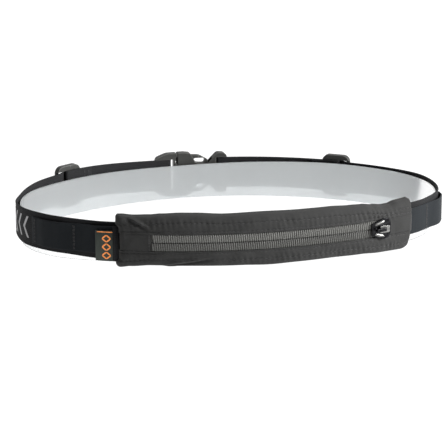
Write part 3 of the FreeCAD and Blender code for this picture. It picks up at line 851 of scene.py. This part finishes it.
def pouch_top(angle):
    left, right = ends_of(angle)
    return edge_height(TOP_EDGE, left) - corner_drop(left, 2.0) - corner_drop(right, 3.6)


def pouch_bottom(angle):
    left, right = ends_of(angle)
    return edge_height(BOTTOM_EDGE, left) + corner_drop(left, 3.5) + corner_drop(right, 8.5)


def leaned(angle, height):
    """The right end of the pouch leans outwards at its top; the middle of the left end is tucked in."""
    left = ends_of(angle)[0]
    tuck = LEFT_TUCK * smooth((13.5 - height) / 3.5) * smooth((height + 17.5) / 4) * (1 - smooth(left / 15))
    return angle - 0.0137 * (18 - height) * smooth((left - 212) / 24) + tuck / MM_PER_DEGREE


def pucker(left, height, row, strength):
    """Gathers across a row of stitches."""
    bend = 1.3 * noise.noise(Vector((left / 17, row, 2.0)))
    phase = 2 * math.pi * left / 4.1 + 2.2 * bend + 0.35 * (height - row)
    patchy = 0.35 + 0.65 * max(0.0, noise.noise(Vector((left / 21, row, 5.0))) + 0.55)
    return strength * patchy * math.sin(phase) * hill(height - row, 3.4)


def fold_ridge(left, height):
    """Slanting folds at the pouch's upper left corner and a long one low down beside it."""
    along = smooth((left - 6) / 6) * (1 - smooth((left - 21) / 7))
    line = 17.8 - 0.5 * (left - 13.8)
    corner = along * (1.4 * hill(height - line, 1.3) - 1.0 * hill(height - line + 2.6, 1.6))
    second = smooth((left - 3) / 6) * (1 - smooth((left - 14) / 8))
    corner += second * 0.5 * hill(height - 15.5 + 0.2 * left, 1.3)
    low = smooth((left - 34) / 12) * (1 - smooth((left - 62) / 14))
    line = 0.16 * (left - 36) - 19.4
    return corner + low * (1.3 * hill(height - line - 2.0, 1.5) - 1.6 * hill(height - line, 1.3))


def pouch_front(angle, height):
    """Offset of the pouch's front surface."""
    left, right = ends_of(angle)
    top, bottom = pouch_top(angle), pouch_bottom(angle)
    t = min(height / top if height > 0 else height / bottom, 1.0)
    fall = max(1 - t ** 3.0, 0.0) ** (1 / 3.0)
    ends = rounded(left / 7.0, 2.3) * rounded(right / 5.0, 2.6)
    level = POUCH_EDGE_LEVEL + (POUCH_FRONT_LEVEL - POUCH_EDGE_LEVEL) * ends * fall
    row = top - HEM if height > 0 else bottom + HEM
    lip = LIP_ROW if height > 0 else -LIP_ROW
    calm = ends * smooth((top - height) / 2.5) * smooth((height - bottom) / 2.5)
    strength = (0.15 + 0.13 * smooth((left - 90) / 110)) * (1 - 0.8 * smooth((20 - right) / 6))
    detail = -0.55 * hill(height - row, 0.8) + pucker(left, height, row, strength)
    groove = 0.5 + 0.4 * smooth((38 - left) / 8)
    detail += -groove * hill(height - lip, 0.7) + 0.5 * pucker(left + 40, height, lip, strength)
    detail += 0.8 * noise.noise(Vector((left / 31, height / 15, 1.0)))
    detail += 0.4 * noise.noise(Vector((left / 9, height / 7, 4.0)))
    detail += fold_ridge(left, height)
    return level + detail * calm


def on_pouch(angle, out, height):
    return place(front(leaned(angle, height)), out, height)


def pouch_section(angle):
    """Outer line of the cloth, (offset, height), from the upper lip round the back to the lower."""
    top, bottom = pouch_top(angle), pouch_bottom(angle)
    rows = FRONT_ROWS
    line = []
    for index in range(rows + 1):
        height = ZIP_HALF + (top - ZIP_HALF) * (index / rows) ** 0.85
        line.append((pouch_front(angle, height), height))
    hem = (POUCH_EDGE_LEVEL + POUCH_BACK) / 2
    line += [(hem + 0.45, top + 0.22), (hem - 0.3, top + 0.1), (POUCH_BACK, top - 0.7)]
    back_rows = 12
    for index in range(1, back_rows):
        line.append((POUCH_BACK, top - 0.7 - (top - bottom - 1.4) * index / back_rows))
    line += [(POUCH_BACK, bottom + 0.7), (hem - 0.3, bottom - 0.1), (hem + 0.45, bottom - 0.22)]
    for index in range(rows + 1):
        height = bottom + (-ZIP_HALF - bottom) * (1 - (1 - index / rows) ** 0.85)
        line.append((pouch_front(angle, height), height))
    return line


def inner_line(line, depth):
    """The same line moved towards the inside of the cloth."""
    moved = []
    for index in range(len(line)):
        before, after = line[max(index - 1, 0)], line[min(index + 1, len(line) - 1)]
        run_out, run_up = after[0] - before[0], after[1] - before[1]
        size = math.hypot(run_out, run_up) or 1.0
        moved.append((line[index][0] - depth * run_up / size, line[index][1] + depth * run_out / size))
    return moved


def shell_loop(line):
    """Closed section of cloth: the outer line, and back along the inner one."""
    inner = inner_line(line, FABRIC)

    def nose(end, before, inside):
        size = math.dist(end, before) or 1.0
        return tuple((end[i] + inside[i]) / 2 + 0.2 * (end[i] - before[i]) / size for i in (0, 1))

    return line + [nose(line[-1], line[-2], inner[-1])] + inner[::-1] + [nose(line[0], line[1], inner[0])]


def pouch_shell(name, first, last):
    """The pouch's cloth along part of its section, counted in points from the upper lip."""
    angles = run(front(POUCH_LEFT), front(POUCH_RIGHT), 0.65)
    points = []
    for value in angles:
        line = pouch_section(value - 270)[first:last]
        points += [on_pouch(value - 270, *spot) for spot in shell_loop(line)]
    outer = len(line)

    def corners(index, turn):
        low, high = index * ROW_LENGTH, (index + 1) * ROW_LENGTH
        return [(0, low), (0, high), (1, high), (1, low)][::turn]

    alongs = [(value - angles[0]) * MM_PER_DEGREE for value in angles]
    heights = [ROW_LENGTH * (index if index < outer else 2 * outer - index) for index in range(2 * outer + 3)]
    return cloth(name, points, alongs, heights, outer, corners)


def follow_zip(obj, half, way):
    """Bakes the piece's transform into its mesh; the places of the hem and the lip are worked out but not
    used.
    """
    middle = place(270, 10, 0) * MM
    hem, lip = (middle + Vector((0, 0, way * height * MM)) for height in (15.5, 8.3))
    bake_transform(obj)
    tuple(hem)
    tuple(lip)


def make_pouch():
    hem = FRONT_ROWS + 1
    for half, way, span in (("upper", 1, (0, hem + 1)), ("lower", -1, (-hem - 1, None))):
        cloth = pouch_shell("pouch_cloth_" + half, *span)
        finish_piece(cloth, KNIT, None, ["pouch_" + half + "_panel"])
        follow_zip(cloth, half, way)
    back = pouch_shell("pouch_cloth_back", hem, -hem)
    finish_piece(back, KNIT, "belt", ["pouch_back_panel"])


def make_end_binding_and_shade():
    """Narrow black tape over the raw seam between the label and the pouch, which also stands in as painted
    shade for the dark gap there.
    """
    levels = [(-1.2, 7.6), (0.4, 7.7), (3.4, 6.6)]
    line = level_line([(front(POUCH_LEFT + x / MM_PER_DEGREE), level) for x, level in levels], 0, 1.0, 0.6)
    tape = sweep("pouch_end_binding_and_painted_shade", stations_of(line), ribbon_profile(0.25, -16.4, 11.6))
    # black tape: partly a real binding, partly painted shade in the gap
    finish_piece(tape, WEBBING, "belt")


def patch_level(angle, height):
    under = smooth((abs(height) - ZIP_HALF + 0.5) / 0.7)
    return pouch_front(angle, height) - 0.25 - 0.8 * under


def make_end_patches():
    """Cloth over the zip's ends, tucked under the panels' lips and rolled in at the zip."""
    heights = [PATCH_HALF * (2 * index / PATCH_ROWS - 1) for index in range(PATCH_ROWS + 1)]
    around = [index * PATCH_ROW_LENGTH for index in range(2 * len(heights))] + [0.0]
    for side, first, last, seam in (("left", POUCH_LEFT + 0.35, ZIP_START, ZIP_START),
                                    ("right", ZIP_END, POUCH_RIGHT - 0.35, ZIP_END)):
        angles = run(front(first), front(last), 1.0)
        points = []
        for value in angles:
            edge = min(abs(value - 270 - seam) * MM_PER_DEGREE, 1.2)
            roll = 0.35 * (1 - edge / 1.2) ** 2
            outer = [(patch_level(value - 270, height) - roll, height) for height in heights]
            inner = [(out - 0.7, height) for out, height in reversed(outer)]
            points += [on_pouch(value - 270, *spot) for spot in outer + inner]
        alongs = [(value - 250) * MM_PER_DEGREE for value in angles]
        patch = cloth("zip_end_cloth_" + side, points, alongs, around, len(heights),
                      lambda index, turn: [(0, 0), (1, 0), (1, 1), (0, 1)])
        finish_piece(patch, KNIT, "belt", ["zip_end_patch_" + side])


def surface_stitch(angle, height, length, sunk, upright=False):
    """A stitch lying on the pouch's front."""
    half = length / 2
    if upright:
        ends = [(angle, height - half), (angle, height + half)]
    else:
        ends = [(angle - half / MM_PER_DEGREE, height), (angle + half / MM_PER_DEGREE, height)]
    first, last = (on_pouch(a, pouch_front(a, h) - sunk, h) for a, h in ends)
    return capsule(first, last, outwards(front(angle)), STITCH_RADIUS)


def stitch_line(height_at, length, pitch, inset, sunk):
    """A row of stitches along the pouch at the height that height_at gives."""
    stitches = []
    angle = POUCH_LEFT + inset
    while angle < POUCH_RIGHT - inset:
        stitches.append(surface_stitch(angle, height_at(angle), length, sunk))
        angle += pitch / MM_PER_DEGREE
    return stitches


def make_pouch_stitches():
    """Topstitching along the pouch's hems, the zip's lips and the ends of the zip."""
    for half, way, edge in (("upper", 1, pouch_top), ("lower", -1, pouch_bottom)):
        rows = stitch_line(lambda angle: edge(angle) - way * HEM, 2.3, 3.6, 1.2, 0.0)
        rows += stitch_line(lambda angle: way * LIP_ROW, 1.9, 3.0, 1.0, 0.02)
        row = gather("pouch_topstitching_" + half, rows)
        finish_piece(row, DARK_THREAD, None)
        follow_zip(row, half, way)
    bars = [surface_stitch(seam, -4.8 + 2.4 * index, 1.6, 0.2, upright=True)
            for seam in (ZIP_START - 0.35, ZIP_END + 0.35) for index in range(5)]
    finish_piece(gather("zip_end_stitching", bars), DARK_THREAD, "belt")


# ---- zip ----

TAPE_LEVEL = 10.2
TAPE_THICKNESS = 0.6
COIL_BACK = 10.75
COIL_FRONT = 12.25
TOOTH_PITCH = 1.65
SLIDER_ANGLE = 19.7
SLIDER_FACE = 13.9


def tooth(angle, way, lean):
    """One turn of the coil, seen as a rounded bar across the tape."""
    low, high = 0.1, 6.3
    middle = place(angle, (COIL_BACK + COIL_FRONT) / 2, way * (low + high) / 2)
    out = outwards(angle)
    along = Vector((-out.y, out.x, 0))
    up = (Vector((0, 0, way)) + along * lean).normalized()
    half_along, half_out, half_up = 0.76, (COIL_FRONT - COIL_BACK) / 2, (high - low) / 2
    rings, sides = 6, 8
    points = []
    for ring in range(rings + 1):
        swing = math.pi * ring / rings
        up_part = -math.copysign(abs(math.cos(swing)) ** 0.6, math.cos(swing)) * half_up
        girth = max(math.sin(swing), 0.0) ** 0.45
        for side in range(sides):
            turn = 2 * math.pi * side / sides
            points.append(middle + up * up_part + along * (girth * half_along * math.cos(turn))
                          + out * (girth * half_out * math.sin(turn)))
    faces = []
    for ring in range(rings):
        for side in range(sides):
            after = (side + 1) % sides
            row = ring * sides
            faces.append((row + side, row + after, row + sides + after, row + sides + side))
    return points, faces


def make_zip():
    start, end = front(ZIP_START + 0.2), front(ZIP_END - 0.3)
    degrees = TOOTH_PITCH / math.radians(FRONT_RADIUS + COIL_FRONT)
    for half, way in (("upper", 1), ("lower", -1)):
        body = "zip_half_" + half
        line = level_line([(front(ZIP_START - 0.5), TAPE_LEVEL), (front(ZIP_END + 0.1), TAPE_LEVEL)],
                          TAPE_THICKNESS / 2, 2.0)
        reach = [0.3 + 8.0 * index / 20 for index in range(21)]
        thick = TAPE_THICKNESS / 2
        bend = [0.9 * smooth((height - 6.6) / 1.7) for height in reach]
        section = [(thick - sunk, way * height) for sunk, height in zip(bend, reach)]
        section += [(-thick - sunk, way * height) for sunk, height in zip(bend[::-1], reach[::-1])]
        tape = sweep("zip_tape_cloth_" + half, stations_of(line), section)
        finish_piece(tape, TAPE, body, ["zip_tape_" + half])
        teeth = []
        angle = start + (degrees / 2 if way > 0 else 0)
        while angle < end:
            teeth.append(tooth(angle, way, -0.12 * way))
            angle += degrees
        # each half takes its lit or painted-shade copy of the coil colour
        coil = COIL_UPPER_PAINTED_LIGHT if way > 0 else COIL_LOWER_PAINTED_SHADE
        finish_piece(gather("zip_coil_turns_" + half, teeth), coil, body, ["zip_coil_" + half])


def make_slider_highlight_cheeks():
    """Raised cheeks of bright nickel along the slider's slanted edges, as painted highlights on its black
    body.
    """
    highlight_cheeks = []
    degrees = 1 / math.radians(FRONT_RADIUS + SLIDER_FACE)
    for way in (-1, 1):
        first = place(front(SLIDER_ANGLE - 6.0 * degrees), SLIDER_FACE - 0.1, way * 3.5)
        last = place(front(SLIDER_ANGLE + 2.6 * degrees), SLIDER_FACE - 0.1, way * 6.0)
        # bright nickel here stands in for glints on the black slider: painted highlight
        highlight_cheeks.append(capsule(first, last, outwards(front(SLIDER_ANGLE)), 1.25, 0.75, 8, 14))
    finish_piece(gather("slider_highlight_cheeks", highlight_cheeks), NICKEL, "slider")


# ---- label ----

LABEL_BOTTOM = -16.5
LABEL_TOP = 7.0
LABEL_LEAF = 0.4
LABEL_BACK_LEVEL = 5.4
LABEL_END = POUCH_START - 2.9


def label_line():
    """Centre line of the ribbon from the seam, round the fold and back to the seam."""
    back = LABEL_BACK_LEVEL
    nose = 0.75
    fold = front(LABEL_END) + nose / MM_PER_DEGREE
    seam = front(POUCH_START + 0.1)
    line = level_line([(seam, back + 0.1), (fold, back)], 0, 1.0)
    line += turn_line(fold, back + nose, nose, -1, outside_first=False)
    line += level_line([(fold, back + 2 * nose), (fold + 1.3, back + 2.1), (seam, back + 1.4)], 0, 1.0, 1.0)
    return line


def make_label():
    """The folded ribbon, with plain lozenges and a line in place of any mark."""
    edge = ribbon_profile(LABEL_LEAF / 2, LABEL_BOTTOM, LABEL_TOP)
    label = sweep("label_ribbon_loop", stations_of(label_line()), edge)
    finish_piece(label, LABEL, "belt", ["woven_label"])
    stitches = []
    middle = front(LABEL_END) + 8.6 / MM_PER_DEGREE
    level = LABEL_BACK_LEVEL + 2.26
    corners = [(0, 2.7), (3.3, 0), (0, -2.7), (-3.3, 0), (0, 2.7)]
    for row in range(3):
        for (x, up), (next_x, next_up) in zip(corners, corners[1:]):
            ends = [place(middle + a / MM_PER_DEGREE, level, 1.2 - 6.6 * row + h)
                    for a, h in ((x, up), (next_x, next_up))]
            stitches.append(capsule(*ends, outwards(middle), 0.6, 0.5, rings=3, sides=6))
    ends = [place(middle + a / MM_PER_DEGREE, level, LABEL_TOP - 0.7) for a in (-7.6, 5.2)]
    stitches.append(capsule(*ends, outwards(middle), 0.4, 0.5, rings=3, sides=6))
    finish_piece(gather("label_lozenges", stitches), GLOWING_ORANGE_THREAD, "belt")


# ---- moulded and cast pieces ----

def moulded(node, name, material, body, voxel, passes, keep=0.4):
    """The CAD piece with softened edges, as it leaves a mould."""
    draft = add("draft", frame["nodes"][node].data.copy())
    remesh = draft.modifiers.new("voxels", "REMESH")
    remesh.mode = "VOXEL"
    remesh.voxel_size = voxel * MM
    soften = draft.modifiers.new("soften", "SMOOTH")
    soften.factor = 0.5
    soften.iterations = passes
    thin = draft.modifiers.new("thin", "DECIMATE")
    thin.ratio = keep
    bpy.context.view_layer.update()
    mesh = bpy.data.meshes.new_from_object(draft.evaluated_get(bpy.context.evaluated_depsgraph_get()))
    bpy.data.objects.remove(draft)
    mesh.name = name
    mesh.shade_smooth()
    return finish_piece(add(name, mesh), material, body, [node])


def make_hardware():
    for node, name, body, voxel, passes in (
        ("slide_adjuster_left", "slide_left", "belt", 0.26, 7),
        ("slide_adjuster_right", "slide_right", "buckle_half", 0.26, 7),
        ("buckle_plug", "buckle_plug_moulding", "belt", 0.26, 6),
        ("buckle_socket", "buckle_socket_moulding", "buckle_half", 0.26, 6),
        ("buckle_prong_upper", "prong_moulding_upper", "prong_upper", 0.2, 5),
        ("buckle_prong_lower", "prong_moulding_lower", "prong_lower", 0.2, 5),
    ):
        piece = moulded(node, name, PLASTIC, body, voxel, passes)
        if name == "slide_left":
            raise_left_back(piece)
    moulded("zip_slider", "slider_casting", BLACK_NICKEL, "slider", 0.13, 5, 0.5)
    moulded("zip_pull", "pull_casting", NICKEL, "pull", 0.1, 4, 0.5)
    moulded("zip_bottom_stop", "bottom_stop_clip", BLACK_NICKEL, "belt", 0.06, 3)
    for half in ("upper", "lower"):
        moulded("zip_top_stop_" + half, "top_stop_clip_" + half, BLACK_NICKEL,
                "zip_half_" + half, 0.08, 3)


# ---- reflective print ----

def make_print():
    """Plain reflective chevrons printed on the left strap, in place of any lettering."""
    rows = 22
    stroke = 2.4
    points, faces = [], []
    for index in range(4):
        start = front(-63.5 - 9.0 * index)
        for row in range(rows + 1):
            height = -8.5 + 17.0 * row / rows
            nose = 5.0 * (1 - abs(height) / 8.5)
            for edge in (0, stroke):
                angle = start - math.degrees((nose + edge) / FRONT_CORNER_RADIUS)
                points.append(place(angle, WEB_LEVEL + left_bulge(angle) + WEB + 0.08, height))
        base = index * (rows + 1) * 2
        for row in range(rows):
            low = base + row * 2
            faces.append((low, low + 2, low + 3, low + 1))
    chevrons = make_object("reflective_chevrons", points, faces)
    finish_piece(chevrons, REFLECTIVE, "belt")


# ---- everything ----

make_hoop()
make_straps()
make_gel_loops()
make_strap_stitches()
make_pouch()
make_end_binding_and_shade()
make_end_patches()
make_pouch_stitches()
make_zip()
make_slider_highlight_cheeks()
make_label()
make_hardware()
make_print()


# ---- stage ----

def make_stage():
    """Pale glowing floor just under the belt."""
    size = 4000.0
    floor = make_object("floor", [(-size, -size, FLOOR), (size, -size, FLOOR), (size, size, FLOOR),
                                  (-size, size, FLOOR)], [(0, 1, 2, 3)], shade_smooth=False)
    g = Graph("pale_floor")
    cloud = g.noise(3.0)
    g.surface(g.mix(cloud, (0.10, 0.10, 0.10), (0.12, 0.12, 0.12)), 0.8,
              Emission_Color=(1, 1, 1, 1), Emission_Strength=0.97)
    floor.data.materials.append(g.owner)


def area_light(name, where, target, size, power):
    data = bpy.data.lights.new(name, "AREA")
    data.shape = "RECTANGLE"
    data.size, data.size_y = size
    data.energy = power
    light = add(name, data)
    light.location = where
    light.rotation_euler = (Vector(target) - Vector(where)).to_track_quat("-Z", "Y").to_euler()
    return light


def make_world():
    """Bright room behind and to the right, dim in front and to the left."""
    g = Graph("studio", bpy.data.worlds, "Background")
    towards = g.node("VectorMath", operation="DOT_PRODUCT")
    g.feed(towards.inputs[0], g.node("TexCoord").outputs["Generated"])
    towards.inputs[1].default_value = (0.55, 0.82, 0.15)
    g.shader.inputs["Color"].default_value = (1, 1, 1, 1)
    g.feed(g.shader.inputs["Strength"], g.span(towards.outputs["Value"], -0.8, 0.35, 0.07, 0.75))
    bpy.context.scene.world = g.owner


def make_lights():
    """A key that leaves out the hoop, two lamps for the hoop alone, and soft light from above."""
    flagged, lit = (bpy.data.collections.new(name) for name in ("flagged_from_key", "lit_by_hoop_fill"))
    for receivers in (flagged, lit):
        receivers.objects.link(bpy.data.objects["hoop_sheet"])
    flagged.collection_objects[0].light_linking.link_state = "EXCLUDE"
    for receivers, *lamp in (
        (flagged, "key_right", (1.0, -0.48, 0.45), (0.03, -0.05, 0.02), (0.4, 0.4), 27),
        (lit, "hoop_fill", (0.9, -1.0, 0.6), (0, 0, 0.02), (0.6, 0.6), 4.3),
        (lit, "hoop_side", (-1.2, -0.1, 0.35), (0.15, 0.02, 0.02), (0.5, 0.5), 3.0),
    ):
        area_light(*lamp).light_linking.receiver_collection = receivers
    area_light("top", (0.0, 0.35, 1.7), (0, 0, 0), (2.4, 1.8), 7)
    make_world()


CAMERA_AZIMUTH = -9.832
CAMERA_ELEVATION = 16.20
CAMERA_DISTANCE = 1.884
CAMERA_TARGET = (-0.001126, 0.0, 0.003192)
CAMERA_LENS = 191.23


def make_camera():
    azimuth, elevation = math.radians(CAMERA_AZIMUTH), math.radians(CAMERA_ELEVATION)
    away = Vector((math.sin(azimuth) * math.cos(elevation), -math.cos(azimuth) * math.cos(elevation),
                   math.sin(elevation)))
    data = bpy.data.cameras.new("camera")
    data.lens = CAMERA_LENS
    data.sensor_width = 36.0
    camera = add("camera", data)
    camera.location = Vector(CAMERA_TARGET) + away * CAMERA_DISTANCE
    camera.rotation_euler = (-away).to_track_quat("-Z", "Y").to_euler()
    bpy.context.scene.camera = camera


make_stage()
make_lights()
make_camera()
bpy.context.scene.view_settings.view_transform = "Standard"
